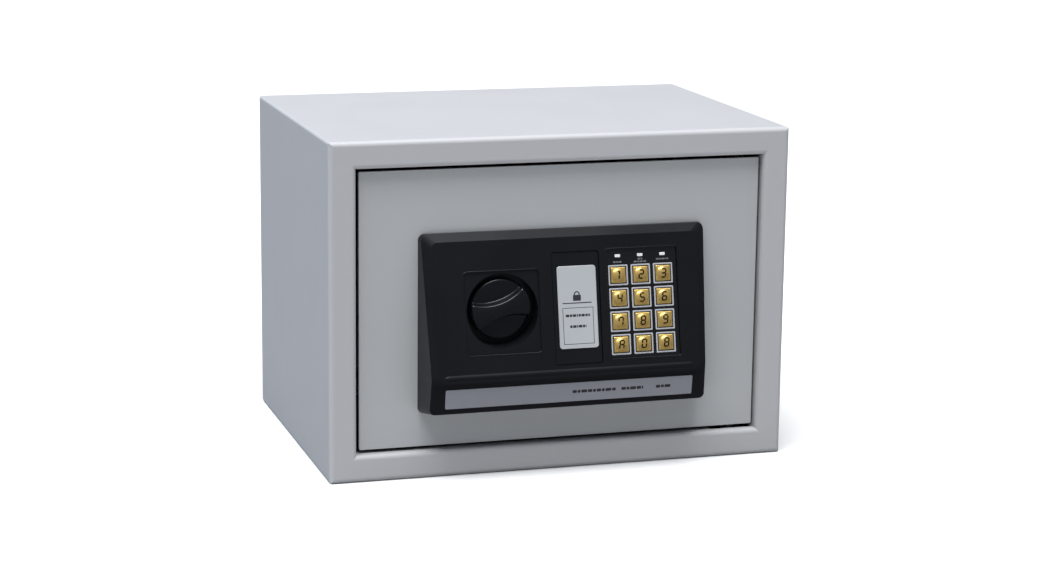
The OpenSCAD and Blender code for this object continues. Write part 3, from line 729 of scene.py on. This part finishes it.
# strokes of the seven-bar numbers, in a cell one wide and one high
BARS = {
    "top": ((0, 1), (1, 1)), "middle": ((0, 0.5), (1, 0.5)), "bottom": ((0, 0), (1, 0)),
    "upper_left": ((0, 1), (0, 0.5)), "lower_left": ((0, 0.5), (0, 0)),
    "upper_right": ((1, 1), (1, 0.5)), "lower_right": ((1, 0.5), (1, 0)),
    "stem_top": ((0.62, 1), (0.62, 0.5)), "stem_low": ((0.62, 0.5), (0.62, 0)),
    "flag": ((0.2, 0.86), (0.62, 1)),
}
NUMBERS = {
    "1": ("stem_top", "stem_low", "flag"),
    "2": ("top", "upper_right", "middle", "lower_left", "bottom"),
    "3": ("top", "upper_right", "middle", "lower_right", "bottom"),
    "4": ("upper_left", "middle", "upper_right", "lower_right"),
    "5": ("top", "upper_left", "middle", "lower_right", "bottom"),
    "6": ("top", "upper_left", "middle", "lower_left", "lower_right", "bottom"),
    "7": ("top", "upper_left", "upper_right", "lower_right"),
    "8": ("top", "upper_left", "upper_right", "middle", "lower_left", "lower_right", "bottom"),
    "9": ("top", "upper_left", "upper_right", "middle", "lower_right", "bottom"),
    "0": ("top", "upper_left", "upper_right", "lower_left", "lower_right", "bottom"),
    "a": ("top", "upper_left", "upper_right", "middle", "lower_left", "lower_right"),
    "b": ("top", "upper_left", "upper_right", "middle", "lower_left", "lower_right", "bottom"),
}


def key_place(index):
    """Centre of a key on the face: across, and down the slope."""
    s = bpy.context.scene.safe_keys
    return s.middle_column + (index % 3 - 1) * s.column_gap, s.first_row + (index // 3) * s.row_gap


def dome_height(points):
    """Height of a key cap over the face at points from its centre: the rim's height plus
    rise times (1 - (r / R) squared) to the 0.75 inside the dome's radius R."""
    s = bpy.context.scene.safe_keys
    r = np.clip(np.hypot(points[..., 0], points[..., 1]) / s.dome_radius, 0, 1)
    return s.flat_height + s.dome_rise * (1 - r ** 2) ** 0.75


def cap_part(x, v):
    """A key cap: a square skirt with a sloping rim, then round rings that rise into a dome."""
    s = bpy.context.scene.safe_keys
    slope, half = face_slope(), s.cap_width / 2
    rows = [(half, 0.35, -4.2 * MM), (half, 0.35, s.flat_height - 0.7 * MM),
            (half - 0.12 * MM, 0.4, s.flat_height - 0.35 * MM),
            (half - 0.5 * MM, 0.5, s.flat_height - 0.05 * MM),
            (half - 0.75 * MM, 0.6, s.flat_height)]
    rings = []
    for side, corner, height in rows:
        o = round_rect(side, side, corner * MM, 10)
        rings.append(on_slope(slope, x + o[:, 0], -v + o[:, 1], height))
    for share_out in np.sin(np.linspace(1, 0.02, 14) * math.pi / 2):
        radius = s.dome_radius * share_out
        o = round_rect(radius, radius, radius * 0.999, 10)
        rings.append(on_slope(slope, x + o[:, 0], -v + o[:, 1], dome_height(o)))
    return lofted(rings)


class SAFE_OT_keys(bpy.types.Operator):
    """Make the twelve domed key caps with their numbers"""
    bl_idname = "safe.keys"
    bl_label = "Keys"

    def execute(self, context):
        s = context.scene.safe_keys
        gold = finish("key gold", colours().gold, 0.30, 0.07, metallic=0.72, tone=0.12,
                      tone_scale=90.0, speckle=1600.0, depth=0.006, gloss_scale=160.0)
        ink = finish("number ink", colours().legend, 0.5, 0.05, tone=0.2, speckle=2500.0,
                     depth=0.006, specular=0.12)
        for index, key in enumerate(KEYS):
            x, v = key_place(index)
            body = "key_%s_cap" % key
            cap = build("key_top_" + key, [cap_part(x, v)], gold, body, 60.0)
            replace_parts(cap, "key_" + key)
            strokes = []
            for bar in NUMBERS[key]:
                ends = (np.array(BARS[bar]) - 0.5) * (s.number_width, s.number_height)
                run = ends[1] - ends[0]
                trim = 0.16 * MM * run / np.linalg.norm(run)
                points = np.linspace(ends[0] + trim, ends[1] - trim, 7)
                points[:, 0] += s.number_slant * points[:, 1]
                strokes.append(stroke_part(face_slope(), x, v, points, s.stroke, dome_height,
                                           0.03 * MM))
            build("key_number_" + key, strokes, ink, body, 60.0)
        return {"FINISHED"}


class SAFE_OT_keypad_prints(bpy.types.Operator):
    """Print the silver key outlines and lamp marks, and fit the three lamp lenses"""
    bl_idname = "safe.keypad_prints"
    bl_label = "Keypad prints and lamps"

    def execute(self, context):
        s = context.scene.safe_keys
        slope, half = face_slope(), s.outline_width / 2
        silver = finish("outline silver", colours().outline, 0.34, 0.06, metallic=0.35,
                        tone=0.08, speckle=2600.0, depth=0.01)
        outlines = [frame_part(slope, *key_place(i), half, half, 0.7 * MM, s.outline_line,
                               *KEYPAD_PRINT) for i in range(len(KEYS))]
        build("key_outlines", outlines, silver, "door", 60.0)
        lens = finish("lamp lens", colours().lamp, 0.28, 0.05, tone=0.04, speckle=900.0,
                      depth=0.004, coat=0.5, subsurface=0.1)
        lamps, marks = [], []
        for column, mark_rows in zip((-1, 0, 1), LAMP_MARKS):
            x = s.middle_column + column * s.column_gap
            lamps.append(plate_part(slope, x, LAMP_ROW, 2.1 * MM, 1.1 * MM, 0.45 * MM, -5.5 * MM,
                                    -1.0 * MM, 0.25 * MM))
            for width, v in mark_rows:
                marks += dash_row(slope, x, v * MM, width * MM, 1.15 * MM, 0.75 * MM,
                                  *KEYPAD_PRINT)
        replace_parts(build("lamp_lenses", lamps, lens, "door", 50.0), "led_lenses")
        grey = finish("mark grey", (0.16, 0.16, 0.175), 0.5, 0.05, tone=0.1, speckle=2500.0,
                      depth=0.006)
        build("lamp_marks", marks, grey, "door", 60.0)
        return {"FINISHED"}


def dash_row(slope, x, v, width, height, pitch, low, high, pattern=(3, 2, 3, 1, 2)):
    """A row of plain dashes centred on x: their lengths follow the pattern, in steps of the
    pitch, with a third of a step between them, until the width is full."""
    parts, left, index = [], x - width / 2, 0
    while left < x + width / 2 - pitch * 0.5:
        long = min(pattern[index % len(pattern)] * pitch, x + width / 2 - left)
        parts.append(plate_part(slope, left + long / 2, v, long / 2, height / 2,
                                min(long, height) * 0.3, low, high, 0.03 * MM, 3))
        left += long + pitch * 0.45
        index += 1
    return parts


def padlock_parts(slope, x, v, size, low, high):
    """A small padlock: a rounded body, and a shackle that is a half ring carried over it."""
    body = plate_part(slope, x, v + 0.22 * size, 0.42 * size, 0.30 * size, 0.08 * size, low, high,
                      0.03 * MM, 4)
    angle = np.linspace(0, math.pi, 16)
    arc = np.stack([0.26 * size * np.cos(angle), 0.10 * size + 0.30 * size * np.sin(angle)], -1)
    right_foot, left_foot = (0.26 * size, -0.06 * size), (-0.26 * size, -0.06 * size)
    path = np.concatenate([[right_foot], arc, [left_foot]])
    shackle = stroke_part(slope, x, v, path, 0.12 * size, lambda edge: 0 * edge[:, 0] + low,
                          high - low, 0.05 * MM)
    return [body, shackle]


class SAFE_OT_plates(bpy.types.Operator):
    """Fit the silver centre plate and the lower strip, with plain marks"""
    bl_idname = "safe.plates"
    bl_label = "Plates"

    def execute(self, context):
        face, chin = face_slope(), chin_slope()
        foil = finish("plate foil", colours().silver, 0.42, 0.06, metallic=0.55, tone=0.05,
                      brushed=(40.0, 1700.0, 1700.0), depth=0.006)
        brushed = finish("strip foil", colours().strip, 0.40, 0.08, metallic=0.6, tone=0.10,
                         brushed=(25.0, 1600.0, 1600.0), depth=0.01)
        ink = finish("plate ink", colours().ink, 0.5, 0.05, tone=0.2, speckle=2500.0, depth=0.006)
        plate = plate_part(face, *CENTRE_PLATE, 14.85 * MM, 30.15 * MM, 2.2 * MM, -0.6 * MM, 0.0,
                           0.22 * MM, 8)
        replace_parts(build("centre_plate", [plate], foil, "emergency_cover"),
                    "cover_plate")
        middle = 7.5 * MM
        marks = [plate_part(face, 7.4 * MM, 48.9 * MM, 11.2 * MM, 0.38 * MM, 0.1 * MM,
                            *PLATE_PRINT, 0.02 * MM, 2),
                 frame_part(face, 7.75 * MM, 65.6 * MM, 11.75 * MM, 13.4 * MM, 0.2 * MM,
                            0.42 * MM, *PLATE_PRINT)]
        marks += padlock_parts(face, 7.4 * MM, 43.6 * MM, 7.2 * MM, *PLATE_PRINT)
        marks += dash_row(face, middle, 58.0 * MM, 18.5 * MM, 1.9 * MM, 0.9 * MM, *PLATE_PRINT)
        marks += dash_row(face, middle, 66.0 * MM, 12.5 * MM, 1.9 * MM, 0.9 * MM, *PLATE_PRINT,
                          (2, 3, 1, 3))
        build("centre_plate_marks", marks, ink, "emergency_cover", 60.0)
        strip = plate_part(chin, *STRIP, 94.7 * MM, 7.3 * MM, 1.1 * MM, 0.0, 0.5 * MM, 0.2 * MM,
                           6)
        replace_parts(build("strip_plate", [strip], brushed, "door"), "strip_label")
        marks = []
        for centre, width in STRIP_MARKS:
            marks += dash_row(chin, centre * MM, 10.6 * MM, width * MM, 2.3 * MM, 1.15 * MM,
                              *STRIP_PRINT, (3, 2, 4, 3, 2))
        build("strip_marks", marks, ink, "door", 60.0)
        return {"FINISHED"}


# ---- studio ----

FLOOR_SEEN, FLOOR_IN_GLOSS = (0.88, 0.88, 0.88, 1.0), (0.07, 0.07, 0.08, 1.0)
COOL_SKY, PALE_BLUE, BLUE = (0.78, 0.88, 1.0, 1.0), (0.80, 0.90, 1.0), (0.62, 0.80, 1.0)
# camera's place in metres, and its turns about x, y and z in degrees
CAMERA_PLACE, CAMERA_TURNS = (-0.5628, -1.8612, 0.5260), (78.016, -0.660, -16.938)
# turns of the wide light from straight down, in degrees
WIDE_TURNS = (9.0, -8.0, 0.0)


def soft_light(name, power, size, place, target):
    """A square soft light at a place, facing a target."""
    data = bpy.data.lights.new(name, "AREA")
    data.energy = power
    data.shape = "SQUARE"
    data.size = size
    lamp = bpy.data.objects.new(name, data)
    lamp.location = place
    towards = np.array(target, float) - np.array(place, float)
    towards /= np.linalg.norm(towards)
    lamp.rotation_euler = (math.acos(-towards[2]), 0.0,
                           math.atan2(towards[0], -towards[1]) + math.pi)
    bpy.context.scene.collection.objects.link(lamp)
    return lamp


def pale_floor():
    """Matt pale floor: it looks near white, throws back about half of the light, and shows dark
    in gloss, so that black plastic over it stays black."""
    material = finish("pale floor", (0.50, 0.50, 0.50), 0.85, 0.05, tone=0.01, speckle=300.0,
                      depth=0.01, specular=0.1)
    tree = material.node_tree
    shader = tree.nodes["Principled BSDF"]
    mix = add(tree, "ShaderNodeMix", data_type="RGBA")
    mix.inputs[7].default_value = FLOOR_SEEN
    seen = add(tree, "ShaderNodeLightPath")
    tree.links.new(seen.outputs["Is Camera Ray"], mix.inputs[0])
    tree.links.new(shader.inputs["Base Color"].links[0].from_socket, mix.inputs[6])
    shine = add(tree, "ShaderNodeMix", data_type="RGBA")
    shine.inputs[7].default_value = FLOOR_IN_GLOSS
    tree.links.new(seen.outputs["Is Glossy Ray"], shine.inputs[0])
    tree.links.new(mix.outputs[2], shine.inputs[6])
    tree.links.new(shine.outputs[2], shader.inputs["Base Color"])
    return material


class SAFE_OT_studio(bpy.types.Operator):
    """Lay the pale floor, set the soft lights and place the camera"""
    bl_idname = "safe.studio"
    bl_label = "Studio"

    def execute(self, context):
        s = context.scene.safe_studio
        half = s.floor_size / 2
        across = np.linspace(-half, half, 3)
        x, y = np.meshgrid(across, across, indexing="ij")
        verts = np.stack([x, y, 0 * x], -1).reshape(-1, 3)
        faces = [(3 * i + j, 3 * i + j + 3, 3 * i + j + 4, 3 * i + j + 1)
                 for i in range(2) for j in range(2)]
        mesh = bpy.data.meshes.new("pale_floor")
        mesh.from_pydata(verts.tolist(), [], faces)
        mesh.materials.append(pale_floor())
        floor = bpy.data.objects.new("pale_floor", mesh)
        context.scene.collection.objects.link(floor)
        world = context.scene.world or bpy.data.worlds.new("surround")
        context.scene.world = world
        world.use_nodes = True
        tree = world.node_tree
        sky = tree.nodes["Background"]
        sky.inputs["Color"].default_value = COOL_SKY
        sky.inputs["Strength"].default_value = s.surround
        seen = tree.nodes.new("ShaderNodeBackground")
        seen.inputs["Strength"].default_value = 1.0
        seen.inputs["Color"].default_value = (1.0, 1.0, 1.0, 1.0)
        path, mix = tree.nodes.new("ShaderNodeLightPath"), tree.nodes.new("ShaderNodeMixShader")
        tree.links.new(path.outputs["Is Camera Ray"], mix.inputs[0])
        tree.links.new(sky.outputs[0], mix.inputs[1])
        tree.links.new(seen.outputs[0], mix.inputs[2])
        tree.links.new(mix.outputs[0], tree.nodes["World Output"].inputs["Surface"])
        soft_light("top light", s.top_power, 2.0, (-0.25, -0.5, 1.8), (-0.1, -0.3, 0.1))
        left = soft_light("left light", s.left_power, 1.2, (-1.9, 0.4, 1.6), (0, 0, 0.12))
        left.data.color = BLUE
        front = soft_light("front light", s.front_power, 1.9, (-0.05, -1.25, 1.75), (0, -0.1, 0.14))
        front.data.color = PALE_BLUE
        wide = bpy.data.lights.new("sky light", "SUN")
        wide.energy = s.sky_power
        wide.angle = math.radians(45)
        lamp = bpy.data.objects.new("sky light", wide)
        lamp.rotation_euler = tuple(math.radians(t) for t in WIDE_TURNS)
        context.scene.collection.objects.link(lamp)
        data = bpy.data.cameras.new("camera")
        data.lens = s.lens
        data.sensor_width = 36.0
        data.clip_end = 50.0
        camera = bpy.data.objects.new("camera", data)
        camera.location = CAMERA_PLACE
        camera.rotation_euler = tuple(math.radians(t) for t in CAMERA_TURNS)
        context.scene.collection.objects.link(camera)
        context.scene.camera = camera
        context.scene.view_settings.view_transform = "Standard"
        return {"FINISHED"}


class SAFE_PT_builder(bpy.types.Panel):
    """The safe's pieces and their sizes, in the 3D view's sidebar"""
    bl_label = "In-room safe"
    bl_idname = "SAFE_PT_builder"
    bl_space_type = "VIEW_3D"
    bl_region_type = "UI"
    bl_category = "Safe"

    def draw(self, context):
        for operator in STEPS:
            self.layout.operator(operator.bl_idname)
        for title in SETTINGS:
            group = getattr(context.scene, title)
            box = self.layout.box()
            for prop in type(group).__annotations__:
                box.prop(group, prop)


STEPS = (SAFE_OT_cabinet, SAFE_OT_door, SAFE_OT_bolt_work, SAFE_OT_inside_parts, SAFE_OT_panel,
         SAFE_OT_knob, SAFE_OT_keys, SAFE_OT_keypad_prints, SAFE_OT_plates, SAFE_OT_studio)
SETTINGS = {"safe_panel_face": SafePanelFace, "safe_keys": SafeKeySizes,
            "safe_knob": SafeKnobSizes, "safe_finishes": SafeFinishes, "safe_studio": SafeStudio}


def register():
    """Register the classes and hang the settings on the scene."""
    for group in (*SETTINGS.values(), *STEPS, SAFE_PT_builder):
        bpy.utils.register_class(group)
    for title, group in SETTINGS.items():
        setattr(bpy.types.Scene, title, PointerProperty(type=group))


def unregister():
    """Take the settings and classes away again."""
    for title in SETTINGS:
        delattr(bpy.types.Scene, title)
    for group in reversed((*SETTINGS.values(), *STEPS, SAFE_PT_builder)):
        bpy.utils.unregister_class(group)


def main():
    register()
    for operator in STEPS:
        group, name = operator.bl_idname.split(".")
        getattr(getattr(bpy.ops, group), name)()


if __name__ == "__main__":
    main()
